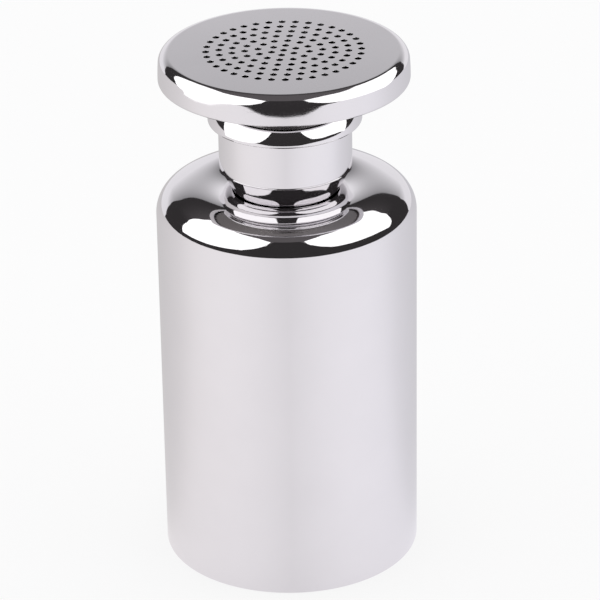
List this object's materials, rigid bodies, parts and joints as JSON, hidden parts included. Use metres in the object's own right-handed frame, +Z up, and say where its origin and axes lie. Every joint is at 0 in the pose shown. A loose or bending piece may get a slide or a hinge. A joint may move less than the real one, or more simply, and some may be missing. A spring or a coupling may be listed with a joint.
{
  "type": "spice shaker",
  "caption": "Round polished-steel spice shaker: a cylindrical bottle with a narrow collared neck and a wide, flat, perforated screw cap for shaking out ground spice.",
  "frame": {"origin": "on the turning axis, at the height of the standing face under the bottle", "axes": "+Z up along the turning axis, from the foot to the perforated top; X and Y are free because the shaker is round"},
  "size_m": [0.065, 0.065, 0.1347],
  "materials": {
    "polished_steel": "mirror-polished stainless steel sheet",
    "satin_steel": "satin stainless steel sheet",
    "natural_plastic": "uncoloured moulded plastic",
    "silicone": "soft translucent silicone"
  },
  "bodies": {
    "bottle": {"body_shell": "polished_steel", "base_plate": "satin_steel", "neck": "polished_steel"},
    "seal": {"seal_ring": "silicone"},
    "cap": {"thread_insert": "natural_plastic", "cap_bell": "polished_steel", "head_pan": "polished_steel", "shaker_top": "polished_steel"}
  },
  "joints": [
    {"name": "cap_rise", "type": "slide", "parent": "bottle", "child": "seal", "axis": [0, 0, 1], "range_m": [0, 0.0076]},
    {"name": "cap_turn", "type": "hinge", "parent": "seal", "child": "cap", "pos_m": [0, 0, 0.1234], "axis": [0, 0, 1], "range_deg": [0, 900]}
  ],
  "couplings": [
    {"joint": "cap_rise", "follows": "cap_turn", "m_per_rad": 0.00047746}
  ]
}
